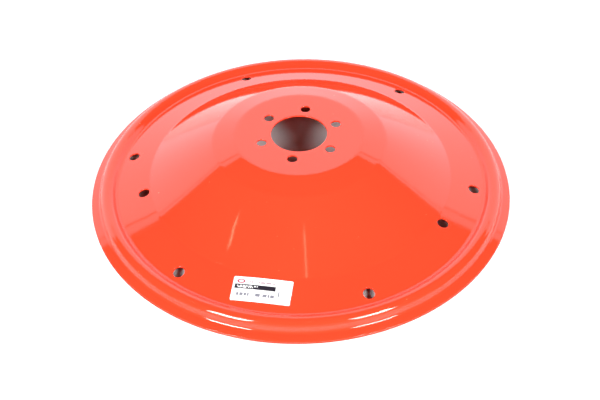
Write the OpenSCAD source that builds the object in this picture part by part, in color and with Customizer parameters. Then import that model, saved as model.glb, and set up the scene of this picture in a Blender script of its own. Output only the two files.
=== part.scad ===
// Dished flange disc: one pressed sheet steel disc with a raised hub pad, a
// conical wall, a bolting face, a bead and a brim round it, plus its paper
// label. +Z is up, the origin is the centre of the circle that it stands on.

/* [Disc] */
// Outer diameter at the lip the disc stands on
disc_d = 543; // [537:0.5:549]
// Thickness of the pressed sheet
sheet_t = 2; // [1.5:0.25:2.5]
// Height of the top of the hub pad above the lip
pad_h = 80; // [76:0.5:84]
// Diameter of the flat hub pad
pad_d = 162; // [154:1:168]
// Diameter where the shoulder round the pad turns into the conical wall
shoulder_d = 220; // [212:1:226]
// Height of the shoulder's outer edge
shoulder_h = 71.8; // [71:0.1:74]
// Diameter where the conical wall meets the bolting face
face_d = 390; // [386:1:390]
// Height of the bolting face at that diameter
face_h = 21.8; // [21:0.1:23]

/* [Rim] */
// Diameter where the bolting face meets the valley's floor
floor_d = 474; // [473:0.2:474.6]
// Height of the valley's floor at that diameter
floor_h = 10.4; // [10.2:0.1:10.6]
// Diameter of the sharp corner where the valley's floor meets the bead
valley_d = 479.6; // [479.2:0.2:480]
// Height of that corner
valley_h = 10.6; // [10.4:0.1:10.8]
// Diameter of the crest of the bead
crest_d = 500; // [499.6:0.2:500.4]
// Height of the crest of the bead
crest_h = 17.4; // [17:0.1:17.8]
// Radius of the bead's crest
crest_r = 9.5; // [9.2:0.1:9.6]
// Diameter of the sharp corner where the bead meets the brim
foot_d = 522.5; // [521.5:0.5:523.5]
// Slope of the brim outside the bead
brim_a = 19; // [17:1:22]
// Radius of the bend between the bolting face and the valley's floor
floor_r = 3; // [2:0.5:4]
// Radius of the fillet between the valley's floor and the bead
valley_r = 2.5; // [2:0.5:3]
// Radius of the fillet at the foot of the bead
foot_r = 5.5; // [4:0.5:7]

/* [Bends] */
// Radius of the bend at the edge of the pad
pad_bend_r = 24; // [15:1:30]
// Radius of the bend between the shoulder and the conical wall
shoulder_bend_r = 22; // [15:1:30]
// Radius of the bend between the conical wall and the bolting face
face_bend_r = 14; // [10:1:15]

/* [Holes] */
// Diameter of the centre bore
bore_d = 71; // [66:0.5:76]
// Pitch circle diameter of the hub bolts
hub_pcd = 100; // [96:0.5:110]
// Diameter of the hub bolt holes
hub_hole_d = 12.5; // [11:0.5:13]
// Pitch circle diameter of the outer bolts
outer_pcd = 450; // [446:1:452]
// Diameter of the outer bolt holes
outer_hole_d = 14; // [11:0.5:15]
// Number of hub bolts, and of outer bolts
bolt_count = 6; // [4, 6]
// Distance of the two side holes from the centre
side_hole_r = 203.2; // [202:0.1:205]
// Angle of each side hole from the -Y axis
side_hole_a = 68.8; // [60:0.1:75]
// Diameter of the two side holes
side_hole_d = 14; // [11:0.5:15]

/* [Label] */
// Length of the label, round the disc
label_l = 70; // [60:1:76]
// Width of the label, along the slope
label_w = 31; // [26:0.5:31]
// Thickness of the label
label_t = 0.2; // [0.15:0.05:0.4]
// Place of the label's middle along X
label_x = -9.5; // [-14:0.5:14]
// Place of the label's middle along Y
label_y = -212; // [-213:0.5:-212]
// Turn of the label about Z
label_turn = 0.2; // [-1:0.1:1]

/* [Hidden] */
$fn = 180;
paint_red = "orangered";
paper_white = "white";
bend_steps = 8;

// The brim ends in a cut edge that stands on z = 0.
lip_r = disc_d / 2;
lip_p = [lip_r, sheet_t * cos(brim_a)];
foot_p = [foot_d / 2, lip_p[1] + (lip_r - foot_d / 2) * tan(brim_a)];
floor_p = [floor_d / 2, floor_h];
valley_p = [valley_d / 2, valley_h];
// The bead's crest is an arc, and its two sides touch it.
crest_c = [crest_d / 2, crest_h - crest_r];
inner_gap = valley_p - crest_c;
inner_a = atan2(inner_gap[1], inner_gap[0]) - acos(crest_r / norm(inner_gap));
inner_p = crest_c + crest_r * [cos(inner_a), sin(inner_a)];
outer_gap = foot_p - crest_c;
outer_a = atan2(outer_gap[1], outer_gap[0]) + acos(crest_r / norm(outer_gap));
outer_p = crest_c + crest_r * [cos(outer_a), sin(outer_a)];

pad_p = [pad_d / 2, pad_h];
shoulder_p = [shoulder_d / 2, shoulder_h];
face_p = [face_d / 2, face_h];

// Angle of a direction.
function dir(v) = atan2(v[1], v[0]);
// Point at the given distance from p towards q.
function towards(p, q, d) = p + d * (q - p) / norm(q - p);
// Arc of radius r that rounds the corner b between a and c.
function bend(a, b, c, r) =
    let(
        turn = dir(c - b) - dir(b - a),
        leg = r * tan(abs(turn) / 2),
        start = towards(b, a, leg),
        side = turn > 0 ? 90 : -90,
        from = dir(b - a) - side,
        mid = start - r * [cos(from), sin(from)]
    )
    [for (i = [0:bend_steps])
        mid + r * [cos(from + turn * i / bend_steps), sin(from + turn * i / bend_steps)]];
// Arc about mid from one angle to another.
function arc(mid, r, a0, a1, n) =
    [for (i = [0:n]) mid + r * [cos(a0 + (a1 - a0) * i / n), sin(a0 + (a1 - a0) * i / n)]];

// The top face, from the axis out to the lip.
function top_line() = concat(
    [[0, pad_h]],
    bend([0, pad_h], pad_p, shoulder_p, pad_bend_r),
    bend(pad_p, shoulder_p, face_p, shoulder_bend_r),
    bend(shoulder_p, face_p, floor_p, face_bend_r),
    bend(face_p, floor_p, valley_p, floor_r),
    bend(floor_p, valley_p, inner_p, valley_r),
    arc(crest_c, crest_r, inner_a, outer_a, 20),
    bend(outer_p, foot_p, lip_p, foot_r),
    [lip_p]
);
// Direction across the sheet at point i of a line, from the top face down.
function across(p, i) =
    let(
        a = p[max(i - 1, 0)],
        b = p[min(i + 1, len(p) - 1)],
        d = (b - a) / norm(b - a)
    )
    [d[1], -d[0]];
// The same line, moved through the sheet.
function moved(p, t) = [for (i = [0:len(p) - 1]) p[i] + t * across(p, i)];
function reversed(p) = [for (i = [len(p) - 1:-1:0]) p[i]];

module sheet_profile() {
    top = top_line();
    polygon(concat(top, [[lip_r, 0]], reversed(moved(top, sheet_t))));
}

module drilled(r, a, d) {
    rotate([0, 0, a])
        translate([r, 0, -1])
            cylinder(h = pad_h + 2, d = d);
}

module pressed_disc() {
    color(paint_red)
        difference() {
            rotate_extrude()
                sheet_profile();
            drilled(0, 0, bore_d);
            for (i = [0:bolt_count - 1]) {
                drilled(hub_pcd / 2, 30 + i * 360 / bolt_count, hub_hole_d);
                drilled(outer_pcd / 2, i * 360 / bolt_count, outer_hole_d);
            }
            for (s = [-1, 1])
                drilled(side_hole_r, 270 + s * side_hole_a, side_hole_d);
        }
}

// The bolting face's slope, which the label lies on.
face_dir = dir(floor_p - face_p);
function face_z(r) = face_h + (r - face_d / 2) * tan(face_dir);
label_r0 = face_d / 2 + 2;
label_r1 = floor_d / 2 - 3;

module parts_label() {
    color(paper_white)
        intersection() {
            rotate_extrude()
                polygon([
                    [label_r0, face_z(label_r0)],
                    [label_r1, face_z(label_r1)],
                    [label_r1, face_z(label_r1) + label_t],
                    [label_r0, face_z(label_r0) + label_t]
                ]);
            translate([label_x, label_y, 0])
                rotate([0, 0, label_turn])
                    translate([-label_l / 2, -label_w * cos(face_dir) / 2, 0])
                        cube([label_l, label_w * cos(face_dir), face_h + 5]);
        }
}

pressed_disc();
parts_label();
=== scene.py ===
import math
import bpy
from mathutils import Matrix, Vector


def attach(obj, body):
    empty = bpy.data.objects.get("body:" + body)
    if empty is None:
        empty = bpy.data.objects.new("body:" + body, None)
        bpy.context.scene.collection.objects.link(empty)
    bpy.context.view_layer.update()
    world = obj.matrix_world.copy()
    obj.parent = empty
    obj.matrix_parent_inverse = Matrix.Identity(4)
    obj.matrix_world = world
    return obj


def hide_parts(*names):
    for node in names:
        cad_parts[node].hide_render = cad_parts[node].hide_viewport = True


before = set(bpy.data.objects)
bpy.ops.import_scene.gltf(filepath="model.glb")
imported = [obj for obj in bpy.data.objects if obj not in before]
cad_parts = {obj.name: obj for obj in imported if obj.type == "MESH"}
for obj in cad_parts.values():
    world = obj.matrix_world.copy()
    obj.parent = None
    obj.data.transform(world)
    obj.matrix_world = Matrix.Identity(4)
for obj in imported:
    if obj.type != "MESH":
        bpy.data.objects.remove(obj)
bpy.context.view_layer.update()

MM = 0.001

# Disc, in millimetres, with the numbers of part.scad.
LIP_R = 271.5
SHEET_T = 2.0
PAD = (81.0, 80.0)
SHOULDER = (110.0, 71.8)
FACE = (195.0, 21.8)
FLOOR = (237.0, 10.4)
VALLEY = (239.8, 10.6)
CREST = (250.0, 17.4)
CREST_R = 9.5
FOOT_R = 261.25
BRIM_A = math.radians(19.0)
LIP = (LIP_R, SHEET_T * math.cos(BRIM_A))
FOOT = (FOOT_R, LIP[1] + (LIP_R - FOOT_R) * math.tan(BRIM_A))
FLOOR_BEND_R = 3.0
VALLEY_BEND_R = 2.5
FOOT_BEND_R = 5.5
PAD_BEND_R = 24.0
SHOULDER_BEND_R = 22.0
FACE_BEND_R = 14.0
BORE_R = 35.5
HOLE_R = 6.25
OUTER_HOLE_R = 7.0
HUB_R = 50.0
OUTER_R = 225.0
SIDE_R = 203.2
SIDE_A = 68.8
EDGE_R = 0.5
LIP_ROUND_R = 0.7
SEGMENTS = 360
ROW_STEP = 2.6

# Label, in millimetres.
LABEL_L = 70.0
LABEL_W = 31.0
LABEL_MID = (-9.5, -212.0)
LABEL_T = 0.16
LABEL_CORNER_R = 1.6
LABEL_LIFT = 0.35

# Print on the label, in millimetres from its left and lower edges. Each block of
# print has its lower left and upper right corners. Rows of cells are filled at random.
BAR = ((2.6, 15.7), (51.0, 21.6))
CODE_LOW = ((4.4, 17.1), (30.0, 18.6))
CODE_HIGH = ((4.4, 18.6), (30.0, 20.2))
UPPER_ROW = ((17.0, 23.8), (49.0, 26.2))
LOWER_ROW = ((6.0, 6.9), (50.5, 10.7))
LOWER_GAP = ((21.0, 7.0), (28.5, 11.0))
SIDE_ROW = ((54.6, 9.5), (56.2, 21.5))
RING_MID = (9.4, 25.3)
RING_R = 2.1
RING_STRETCH = 1.8
PAPER = ((0.86, 0.86, 0.86, 1.0), (0.93, 0.93, 0.92, 1.0))
INK_BLACK = (0.016, 0.012, 0.020, 1.0)
INK_PINK = (0.24, 0.14, 0.17, 1.0)
INK_GREY = (0.07, 0.07, 0.11, 1.0)
INK_RED = (0.36, 0.07, 0.11, 1.0)

# Camera, in the frame of the disc: a turn about Z, then a pitch and a roll.
CAMERA_TURN = 10.469
CAMERA_PITCH = 43.043
CAMERA_ROLL = -1.515
CAMERA_DISTANCE = 1.2907
CAMERA_TARGET = (-0.00106, 0.0, -0.03538)
CAMERA_LENS = 57.643

# Studio: a tall white wall behind the disc, whose top edge and a thin dark gap
# near it show in the paint. Heights and widths are in wall distances.
WALL_DISTANCE = 2.2
WALL_HALF_WIDTH = 3.2
WALL_TURN = -1.5
WALL_TOP = 1.37
WALL_GAP = (1.205, 1.235)
WALL_RADIANCE = 1.9
WALL_COLOR = (0.97, 1.0, 1.09, 1.0)
GAP_LOSS = 0.7
ABOVE_GAP_LOSS = 0.15
# The wall is a little brighter round this height in its middle.
GLOW_HEIGHT = 0.34
GLOW_GAIN = 0.22
# Two softboxes on the camera's side, turned by these angles from straight ahead.
BOXES = (("left", -37.4, 37.0), ("right", 35.0, 33.0))
BOX_ELEVATION = 35.0
BOX_DISTANCE = 2.4
BOX_SIZE = (0.72, 0.75)
# A dim low screen behind the camera, and two small ceiling lamps.
LOW_DISTANCE = 2.6
LOW_TOP = 0.45
LOW_RADIANCE = 0.6
LAMPS = (("a", 4.1, 69.2, (0.03, 0.2), 5.0), ("b", -77.3, 55.8, (0.18, 0.03), 6.0))
LAMP_DISTANCE = 2.5
LAMP_COLOR = (1.0, 0.85, 0.55)
# A light above the floor behind the disc, which no gloss mirrors.
WASH_AT = (1.15, 1.3)
WASH_SIZE = (4.5, 1.2)
WASH_RADIANCE = 1.7


def direction(v):
    return math.atan2(v[1], v[0])


def polar(mid, radius, angle):
    return (mid[0] + radius * math.cos(angle), mid[1] + radius * math.sin(angle))


def arc(mid, radius, a0, a1, step=0.7):
    count = max(3, math.ceil(abs(a1 - a0) * radius / step), math.ceil(abs(a1 - a0) / 0.07))
    return [polar(mid, radius, a0 + (a1 - a0) * i / count) for i in range(count + 1)]


def bend(a, b, c, radius, step=0.7):
    """Arc that rounds the corner b between a and c."""
    d0 = direction((b[0] - a[0], b[1] - a[1]))
    d1 = direction((c[0] - b[0], c[1] - b[1]))
    leg = radius * math.tan(abs(d1 - d0) / 2)
    start = polar(b, -leg, d0)
    side = math.pi / 2 if d1 > d0 else -math.pi / 2
    mid = polar(start, radius, d0 + side)
    return arc(mid, radius, d0 - side, d1 - side, step)


def filled(points, step):
    """The same line with no two points farther apart than step."""
    out = [points[0]]
    for p, q in zip(points, points[1:]):
        count = max(1, math.ceil(math.dist(p, q) / step))
        for i in range(1, count + 1):
            out.append((p[0] + (q[0] - p[0]) * i / count, p[1] + (q[1] - p[1]) * i / count))
    return out


def top_line():
    """The disc's top face as radius and height, from the bore to the lip."""
    mid = (CREST[0], CREST[1] - CREST_R)
    to_valley = direction((VALLEY[0] - mid[0], VALLEY[1] - mid[1]))
    inner_a = to_valley - math.acos(CREST_R / math.dist(VALLEY, mid))
    to_foot = direction((FOOT[0] - mid[0], FOOT[1] - mid[1]))
    outer_a = to_foot + math.acos(CREST_R / math.dist(FOOT, mid))
    start = (BORE_R + EDGE_R, PAD[1])
    points = [start]
    points += bend(start, PAD, SHOULDER, PAD_BEND_R)
    points += bend(PAD, SHOULDER, FACE, SHOULDER_BEND_R)
    points += bend(SHOULDER, FACE, FLOOR, FACE_BEND_R)
    points += bend(FACE, FLOOR, VALLEY, FLOOR_BEND_R)
    points += bend(FLOOR, VALLEY, polar(mid, CREST_R, inner_a), VALLEY_BEND_R)
    points += arc(mid, CREST_R, inner_a, outer_a)
    points += bend(polar(mid, CREST_R, outer_a), FOOT, LIP, FOOT_BEND_R)
    points += [polar(LIP, LIP_ROUND_R, direction((FOOT[0] - LIP[0], FOOT[1] - LIP[1])))]
    return filled(points, ROW_STEP)


def moved(points, distance):
    """The same line, moved through the sheet."""
    out = []
    for i, p in enumerate(points):
        a = points[max(i - 1, 0)]
        b = points[min(i + 1, len(points) - 1)]
        scale = distance / math.dist(a, b)
        out.append((p[0] + scale * (b[1] - a[1]), p[1] - scale * (b[0] - a[0])))
    return out


def height_at(line, r):
    for p, q in zip(line, line[1:]):
        if p[0] <= r <= q[0] and q[0] > p[0]:
            return p[1] + (r - p[0]) * (q[1] - p[1]) / (q[0] - p[0])
    return line[0][1] if r < line[0][0] else line[-1][1]


TOP = top_line()
UNDER = moved(TOP, SHEET_T)
FACE_COS = math.cos(direction((FLOOR[0] - FACE[0], FLOOR[1] - FACE[1])))


class Shell:
    """Vertices and faces of the disc, gathered ring by ring."""

    def __init__(self):
        self.verts = []
        self.faces = []

    def ring(self, points):
        first = len(self.verts)
        self.verts += points
        return list(range(first, len(self.verts)))

    def bridge(self, a, b, skip=()):
        n = len(a)
        for j in range(n):
            if j not in skip:
                k = (j + 1) % n
                self.faces.append((a[j], a[k], b[k], b[j]))


def circle_ring(r, z):
    step = 2 * math.pi / SEGMENTS
    return [(r * math.cos(j * step), r * math.sin(j * step), z) for j in range(SEGMENTS)]


def hole_list():
    """Place, angle and radius of each hole, and the half height and half angle of its patch."""
    holes = [(HUB_R, 30 + 60 * i, HOLE_R, 10.5, 12) for i in range(6)]
    holes += [(OUTER_R, 60 * i, OUTER_HOLE_R, 10.5, 3) for i in range(6)]
    holes += [(SIDE_R, 270 + s * SIDE_A, OUTER_HOLE_R, 11.0, 3) for s in (-1, 1)]
    return holes


def patch_rows(line, r, half):
    """First and last row of points that a hole's patch reaches."""
    rows = [i for i, p in enumerate(line) if r - half <= p[0] <= r + half]
    return rows[0], rows[-1]


def border(rings, i0, i1, j0, j1):
    """The vertices round a patch."""
    cols = [j % SEGMENTS for j in range(j0, j1 + 1)]
    loop = [rings[i0][j] for j in cols[:-1]]
    loop += [rings[i][cols[-1]] for i in range(i0, i1)]
    loop += [rings[i1][j] for j in reversed(cols[1:])]
    loop += [rings[i][cols[0]] for i in range(i1, i0, -1)]
    return loop


def spokes(shell, loop, mid):
    """Each vertex of a loop with its direction from mid."""
    out = []
    for v in loop:
        x, y = shell.verts[v][0], shell.verts[v][1]
        a = math.atan2(y - mid[1], x - mid[0])
        out.append((x, y, math.cos(a), math.sin(a)))
    return out


def hole_side(shell, loop, mid, hole_r, line, sign):
    """Rings from a patch's border to the hole's edge and round it, on one side of the sheet."""
    rays = spokes(shell, loop, mid)
    rings = [loop]
    rim = hole_r + EDGE_R
    for t, extra in ((0.45, 0), (0.8, 0), (1.0, 0.35), (1.0, 0.0)):
        points = []
        for x, y, c, s in rays:
            ex, ey = mid[0] + (rim + extra) * c, mid[1] + (rim + extra) * s
            px, py = x + (ex - x) * t, y + (ey - y) * t
            points.append((px, py, height_at(line, math.hypot(px, py))))
        rings.append(shell.ring(points))
    for k in range(1, 5):
        a = math.pi / 8 * k
        points = []
        for x, y, c, s in rays:
            d = rim - EDGE_R * math.sin(a)
            px, py = mid[0] + d * c, mid[1] + d * s
            z = height_at(line, math.hypot(px, py)) + sign * EDGE_R * (1 - math.cos(a))
            points.append((px, py, z))
        rings.append(shell.ring(points))
    for a, b in zip(rings, rings[1:]):
        if sign < 0:
            shell.bridge(b, a)
        else:
            shell.bridge(a, b)
    return rings[-1]


def build_disc():
    shell = Shell()
    top = [shell.ring(circle_ring(*p)) for p in TOP]
    under = [shell.ring(circle_ring(*p)) for p in UNDER]
    skip_rows = {}
    for r, a, hole_r, half, span in hole_list():
        i0, i1 = patch_rows(TOP, r, half)
        j0, j1 = round(a) - span, round(a) + span
        for i in range(i0, i1):
            skip_rows.setdefault(i, set()).update(j % SEGMENTS for j in range(j0, j1))
        mid = (r * math.cos(math.radians(a)), r * math.sin(math.radians(a)))
        wall_top = hole_side(shell, border(top, i0, i1, j0, j1), mid, hole_r, TOP, -1)
        wall_under = hole_side(shell, border(under, i0, i1, j0, j1), mid, hole_r, UNDER, 1)
        shell.bridge(wall_under, wall_top)
    for i in range(len(TOP) - 1):
        skip = skip_rows.get(i, ())
        shell.bridge(top[i + 1], top[i], skip)
        shell.bridge(under[i], under[i + 1], skip)
    return shell, top, under


def bore_and_lip(shell, top, under):
    """Rounds the bore's two edges and the lip, and closes the sheet there."""
    quarter = [math.pi / 8 * k for k in range(1, 5)]
    drop = [(BORE_R + EDGE_R * (1 - math.sin(a)), EDGE_R * (1 - math.cos(a))) for a in quarter]
    wall = [(r, TOP[0][1] - z) for r, z in drop]
    wall += [(r, UNDER[0][1] + z) for r, z in reversed(drop)]
    rings = [top[0]] + [shell.ring(circle_ring(*p)) for p in wall] + [under[0]]
    for a, b in zip(rings, rings[1:]):
        shell.bridge(a, b)
    corner = bend(TOP[-1], LIP, (LIP_R, 0.0), LIP_ROUND_R * 0.8, 0.2)[1:]
    heel = bend((LIP_R, 1.5), (LIP_R, 0.0), (UNDER[-1][0], 0.0), 0.3, 0.15)
    turn = corner + heel + [(UNDER[-1][0] + 0.3, 0.0)]
    rings = [top[-1]] + [shell.ring(circle_ring(*p)) for p in turn] + [under[-1]]
    for a, b in zip(rings, rings[1:]):
        shell.bridge(b, a)


def make_object(name, verts, faces, smooth=True):
    mesh = bpy.data.meshes.new(name)
    mesh.from_pydata([(x * MM, y * MM, z * MM) for x, y, z in verts], [], faces)
    mesh.validate()
    mesh.polygons.foreach_set("use_smooth", [smooth] * len(mesh.polygons))
    mesh.update()
    obj = bpy.data.objects.new(name, mesh)
    bpy.context.scene.collection.objects.link(obj)
    return obj


def label_rows():
    """Distance from the label's middle line and half length of each row, round corners included."""
    r = LABEL_CORNER_R
    turns = [math.pi / 8 * k for k in range(4, -1, -1)]
    low = [(-(LABEL_W / 2 - r) - r * math.sin(a), LABEL_L / 2 - r + r * math.cos(a)) for a in turns]
    count = 12
    inner = LABEL_W / 2 - r
    middle = [(-inner + 2 * inner * k / count, LABEL_L / 2) for k in range(1, count)]
    return low + middle + [(-v, half) for v, half in reversed(low)]


def label_point(u, v, above):
    """A point of the label, laid on the bolting face; two of its corners stand off a little."""
    x = LABEL_MID[0] + u
    y = LABEL_MID[1] + v * FACE_COS
    corner = max(0.0, (2 * u / LABEL_L + 2 * v / LABEL_W - 1.5) / 0.5)
    edge = max(0.0, (-2 * u / LABEL_L - 2 * v / LABEL_W - 1.6) / 0.4)
    lift = LABEL_LIFT * (corner ** 2 + 0.5 * edge ** 2)
    return (x, y, height_at(TOP, math.hypot(x, y)) + above + lift)


def build_label():
    rows = label_rows()
    columns = 44
    verts = []
    for above in (LABEL_T, 0.01):
        for v, half in rows:
            verts += [label_point(half * (2 * i / columns - 1), v, above) for i in range(columns + 1)]
    wide = columns + 1
    under = wide * len(rows)
    faces = []
    for j in range(len(rows) - 1):
        for i in range(columns):
            a = j * wide + i
            faces.append((a, a + 1, a + 1 + wide, a + wide))
            faces.append((under + a, under + a + wide, under + a + 1 + wide, under + a + 1))
    edge = list(range(wide))
    edge += [j * wide + columns for j in range(1, len(rows))]
    edge += [(len(rows) - 1) * wide + i for i in range(columns - 1, -1, -1)]
    edge += [j * wide for j in range(len(rows) - 2, 0, -1)]
    for a, b in zip(edge, edge[1:] + edge[:1]):
        faces.append((a, under + a, under + b, b))
    return verts, faces


class Nodes:
    """A material's node tree, with short ways to add to it."""

    def __init__(self, name):
        self.mat = bpy.data.materials.new(name)
        self.mat.use_nodes = True
        self.tree = self.mat.node_tree
        self.shader = self.tree.nodes["Principled BSDF"]

    def add(self, kind, **settings):
        node = self.tree.nodes.new(kind)
        for key, value in settings.items():
            setattr(node, key, value)
        return node

    def link(self, a, b):
        self.tree.links.new(a, b)

    def put(self, socket, value):
        if isinstance(value, bpy.types.NodeSocket):
            self.link(value, socket)
        else:
            socket.default_value = value

    def math(self, operation, *values):
        node = self.add("ShaderNodeMath", operation=operation)
        for i, value in enumerate(values):
            self.put(node.inputs[i], value)
        return node.outputs[0]

    def place(self):
        return self.add("ShaderNodeTexCoord").outputs["Object"]

    def noise(self, scale, detail=2.0, roughness=0.5, vector=None):
        node = self.add("ShaderNodeTexNoise")
        self.link(vector or self.place(), node.inputs["Vector"])
        node.inputs["Scale"].default_value = scale
        node.inputs["Detail"].default_value = detail
        node.inputs["Roughness"].default_value = roughness
        return node.outputs["Fac"]

    def ramp(self, fac, low, high, out_low=0.0, out_high=1.0):
        node = self.add("ShaderNodeMapRange")
        self.put(node.inputs["Value"], fac)
        node.inputs["From Min"].default_value = low
        node.inputs["From Max"].default_value = high
        node.inputs["To Min"].default_value = out_low
        node.inputs["To Max"].default_value = out_high
        return node.outputs["Result"]

    def mix(self, fac, a, b):
        node = self.add("ShaderNodeMix", data_type="RGBA")
        self.put(node.inputs[0], fac)
        self.put(node.inputs[6], a)
        self.put(node.inputs[7], b)
        return node.outputs[2]

    def bump(self, height, distance, strength=1.0, normal=None):
        node = self.add("ShaderNodeBump")
        node.inputs["Strength"].default_value = strength
        node.inputs["Distance"].default_value = distance
        self.link(height, node.inputs["Height"])
        if normal:
            self.link(normal, node.inputs["Normal"])
        return node.outputs["Normal"]


def paint_material():
    n = Nodes("orange_paint")
    s = n.shader
    s.inputs["IOR"].default_value = 1.5
    shade = n.noise(9.0, 3.0)
    base = n.mix(shade, (0.80, 0.046, 0.0165, 1.0), (0.83, 0.051, 0.0190, 1.0))
    speck = n.ramp(n.noise(260.0, 1.0), 0.80, 0.84)
    n.link(n.mix(speck, base, (0.84, 0.20, 0.10, 1.0)), s.inputs["Base Color"])
    haze = n.noise(14.0, 4.0, 0.6)
    n.link(n.ramp(haze, 0.3, 0.75, 0.035, 0.085), s.inputs["Roughness"])
    peel = n.bump(n.noise(420.0, 2.0), 0.00002, 0.25)
    wave = n.bump(n.noise(38.0, 1.0), 0.0003, 0.12, peel)
    n.link(wave, s.inputs["Normal"])
    return n.mat


def label_place(n):
    """Millimetres from the label's left edge and from its lower edge."""
    split = n.add("ShaderNodeSeparateXYZ")
    n.link(n.place(), split.inputs[0])
    x, y = split.outputs[0], split.outputs[1]
    u = n.math("MULTIPLY_ADD", x, 1 / MM, LABEL_L / 2 - LABEL_MID[0])
    v = n.math("MULTIPLY_ADD", y, 1 / MM / FACE_COS, LABEL_W / 2 - LABEL_MID[1] / FACE_COS)
    return u, v


def block(n, u, v, corners):
    """1 inside a rectangle, 0 outside."""
    mask = 1.0
    for value, a, b in zip((u, v), *corners):
        half = (b - a) / 2
        offset = n.math("ABSOLUTE", n.math("SUBTRACT", value, (a + b) / 2))
        mask = n.math("MULTIPLY", mask, n.ramp(offset, half - 0.05, half + 0.05, 1.0, 0.0))
    return mask


def cells(n, u, width, seed, share):
    """A row of cells, a share of which is 1 at random and the others 0."""
    cell = n.math("FLOOR", n.math("DIVIDE", u, width))
    pick = n.add("ShaderNodeTexWhiteNoise", noise_dimensions="1D")
    n.link(n.math("MULTIPLY_ADD", cell, 1.37, seed), pick.inputs["W"])
    return n.math("LESS_THAN", pick.outputs["Value"], share)


def print_row(n, u, v, corners, cell_row):
    return n.math("MULTIPLY", block(n, u, v, corners), cell_row)


def ring_mask(n, u, v):
    across = n.math("DIVIDE", n.math("SUBTRACT", u, RING_MID[0]), RING_STRETCH)
    up = n.math("SUBTRACT", v, RING_MID[1])
    far = n.math("SQRT", n.math("ADD", n.math("POWER", across, 2.0), n.math("POWER", up, 2.0)))
    return n.ramp(n.math("ABSOLUTE", n.math("SUBTRACT", far, RING_R)), 0.55, 0.75, 1.0, 0.0)


def label_color(n):
    u, v = label_place(n)
    code = print_row(n, u, v, CODE_LOW, cells(n, u, 1.1, 4.0, 0.55))
    code = n.math("ADD", code, print_row(n, u, v, CODE_HIGH, cells(n, u, 1.1, 7.0, 0.5)))
    bar = n.math("SUBTRACT", block(n, u, v, BAR), code)
    upper = print_row(n, u, v, UPPER_ROW, cells(n, u, 0.9, 9.0, 0.7))
    lower = print_row(n, u, v, LOWER_ROW, cells(n, u, 1.0, 3.0, 0.86))
    lower = n.math("SUBTRACT", lower, n.math("MULTIPLY", lower, block(n, u, v, LOWER_GAP)))
    side = print_row(n, u, v, SIDE_ROW, cells(n, v, 1.0, 6.0, 0.6))
    color = n.mix(n.noise(900.0, 3.0), *PAPER)
    color = n.mix(n.math("MULTIPLY", upper, 0.8), color, INK_PINK)
    color = n.mix(n.math("MULTIPLY", n.math("ADD", lower, side), 0.85), color, INK_GREY)
    color = n.mix(ring_mask(n, u, v), color, INK_RED)
    return n.mix(bar, color, INK_BLACK)


def label_material():
    n = Nodes("label_print")
    s = n.shader
    n.link(label_color(n), s.inputs["Base Color"])
    s.inputs["IOR"].default_value = 1.45
    n.link(n.ramp(n.noise(60.0, 2.0), 0.3, 0.7, 0.32, 0.42), s.inputs["Roughness"])
    n.link(n.bump(n.noise(700.0, 3.0), 0.00003, 0.4), s.inputs["Normal"])
    return n.mat


def floor_material():
    n = Nodes("pale_floor")
    n.shader.inputs["Roughness"].default_value = 0.6
    n.shader.inputs["Specular IOR Level"].default_value = 0.2
    color = n.mix(n.noise(3.0), (0.86, 0.86, 0.87, 1.0), (0.88, 0.88, 0.88, 1.0))
    n.link(color, n.shader.inputs["Base Color"])
    return n.mat


def area_light(name, size, position, towards, radiance, color=(1.0, 1.0, 1.0)):
    data = bpy.data.lights.new(name, "AREA")
    data.shape = "RECTANGLE"
    data.size = size[0]
    data.size_y = size[1]
    data.energy = radiance * math.pi * size[0] * size[1]
    data.color = color
    obj = bpy.data.objects.new(name, data)
    obj.location = position
    obj.rotation_euler = (Vector(towards) - Vector(position)).to_track_quat("-Z", "Y").to_euler()
    obj.visible_camera = False
    bpy.context.scene.collection.objects.link(obj)
    return obj


def turned(x, y, z, degrees=CAMERA_TURN):
    a = math.radians(degrees)
    return Vector((x * math.cos(a) - y * math.sin(a), x * math.sin(a) + y * math.cos(a), z))


def wall_level(n):
    """The wall's brightness: a little more low in the middle, and a gap near the top."""
    split = n.add("ShaderNodeSeparateXYZ")
    n.link(n.place(), split.inputs[0])
    side = n.math("ABSOLUTE", n.math("DIVIDE", split.outputs[0], WALL_DISTANCE))
    height = n.math("DIVIDE", split.outputs[1], WALL_DISTANCE)
    from_glow = n.math("ABSOLUTE", n.math("SUBTRACT", height, GLOW_HEIGHT))
    wide = n.ramp(side, 0.05, 0.5, 1.0, 0.0)
    middle = n.math("MULTIPLY", wide, n.ramp(from_glow, 0.03, 0.22, 1.0, 0.0))
    level = n.math("MULTIPLY_ADD", middle, GLOW_GAIN, 1.0)
    gap_middle = (WALL_GAP[0] + WALL_GAP[1]) / 2
    from_gap = n.math("ABSOLUTE", n.math("SUBTRACT", height, gap_middle))
    in_gap = n.math("LESS_THAN", from_gap, WALL_GAP[1] - gap_middle)
    above = n.math("GREATER_THAN", height, gap_middle)
    level = n.math("SUBTRACT", level, n.math("MULTIPLY", above, ABOVE_GAP_LOSS))
    return n.math("SUBTRACT", level, n.math("MULTIPLY", in_gap, GAP_LOSS))


def wall_material():
    n = Nodes("wall_light")
    n.tree.nodes.remove(n.shader)
    glow = n.add("ShaderNodeEmission")
    glow.inputs["Color"].default_value = WALL_COLOR
    n.link(glow.outputs[0], n.tree.nodes["Material Output"].inputs[0])
    n.link(n.math("MULTIPLY", wall_level(n), WALL_RADIANCE), glow.inputs["Strength"])
    return n.mat


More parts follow.
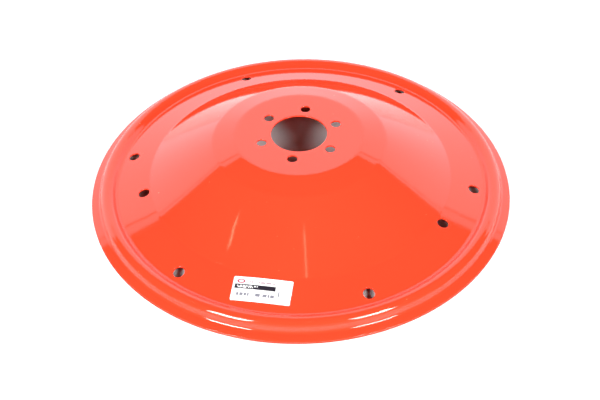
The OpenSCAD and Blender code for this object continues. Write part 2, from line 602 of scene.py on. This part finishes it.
def make_wall():
    half = WALL_HALF_WIDTH * WALL_DISTANCE
    top = WALL_TOP * WALL_DISTANCE
    mesh = bpy.data.meshes.new("wall")
    corners = [(-half, 0, 0), (half, 0, 0), (half, top, 0), (-half, top, 0)]
    mesh.from_pydata(corners, [], [(0, 1, 2, 3)])
    wall = bpy.data.objects.new("wall", mesh)
    turn = Matrix.Rotation(math.radians(CAMERA_TURN + WALL_TURN), 4, "Z")
    upright = Matrix.Rotation(math.pi / 2, 4, "X")
    wall.matrix_world = turn @ Matrix.Translation((0, WALL_DISTANCE, 0)) @ upright
    wall.visible_camera = False
    bpy.context.scene.collection.objects.link(wall)
    wall.data.materials.append(wall_material())


def in_front(azimuth, elevation, distance):
    """A point on the camera's side, as seen from the disc's middle."""
    el = math.radians(elevation)
    return turned(0, -distance * math.cos(el), distance * math.sin(el), CAMERA_TURN + azimuth)


def make_lights():
    centre = (0, 0, 0)
    for side, azimuth, radiance in BOXES:
        box_at = in_front(azimuth, BOX_ELEVATION, BOX_DISTANCE)
        area_light("box_" + side, BOX_SIZE, box_at, centre, radiance)
    low_size = (4.0 * LOW_DISTANCE, LOW_TOP * LOW_DISTANCE)
    low_at = turned(0, -LOW_DISTANCE, LOW_TOP * LOW_DISTANCE / 2)
    area_light("low", low_size, low_at, turned(0, 0, low_at.z), LOW_RADIANCE)
    for name, azimuth, elevation, size, radiance in LAMPS:
        lamp_at = in_front(azimuth, elevation, LAMP_DISTANCE)
        area_light("lamp_" + name, size, lamp_at, centre, radiance, LAMP_COLOR)
    below = turned(0, WASH_AT[0] + 0.05, 0)
    wash = area_light("wash", WASH_SIZE, turned(0, *WASH_AT), below, WASH_RADIANCE)
    wash.visible_glossy = False


def make_world():
    """White for the camera only: it lights nothing."""
    world = bpy.data.worlds.new("studio")
    world.use_nodes = True
    bpy.context.scene.world = world
    back = world.node_tree.nodes["Background"]
    path = world.node_tree.nodes.new("ShaderNodeLightPath")
    world.node_tree.links.new(path.outputs["Is Camera Ray"], back.inputs["Strength"])
    back.inputs["Color"].default_value = (1.0, 1.0, 1.0, 1.0)


def make_floor():
    bpy.ops.mesh.primitive_plane_add(size=1.0)
    floor = bpy.context.object
    floor.name = "floor"
    floor.scale = (14.0, 14.0, 1.0)
    floor.location = (0, 0, -0.0005)
    floor.data.materials.append(floor_material())


def make_studio():
    make_wall()
    make_lights()
    make_world()
    make_floor()


def make_camera():
    data = bpy.data.cameras.new("camera")
    data.sensor_width = 36.0
    data.lens = CAMERA_LENS
    pitch = math.radians(CAMERA_PITCH)
    roll = math.radians(CAMERA_ROLL)
    back = Vector((0, -math.cos(pitch), math.sin(pitch)))
    right = Vector((1, 0, 0))
    up = right.cross(-back)
    right, up = (
        math.cos(roll) * right + math.sin(roll) * up,
        math.cos(roll) * up - math.sin(roll) * right,
    )
    axes = Matrix((right, up, back)).transposed().to_4x4()
    place = Matrix.Translation(Vector(CAMERA_TARGET) + back * CAMERA_DISTANCE)
    obj = bpy.data.objects.new("camera", data)
    obj.matrix_world = Matrix.Rotation(math.radians(CAMERA_TURN), 4, "Z") @ place @ axes
    bpy.context.scene.collection.objects.link(obj)
    bpy.context.scene.camera = obj


def make_disc():
    shell, top, under = build_disc()
    bore_and_lip(shell, top, under)
    disc = make_object("painted_disc", shell.verts, shell.faces)
    disc.data.materials.append(paint_material())
    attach(disc, "root")
    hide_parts("pressed_disc")


def make_label():
    label = make_object("label_sheet", *build_label())
    label.data.materials.append(label_material())
    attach(label, "root")
    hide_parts("parts_label")


make_studio()
make_camera()
make_disc()
make_label()
scene = bpy.context.scene
scene.view_settings.view_transform = "Standard"
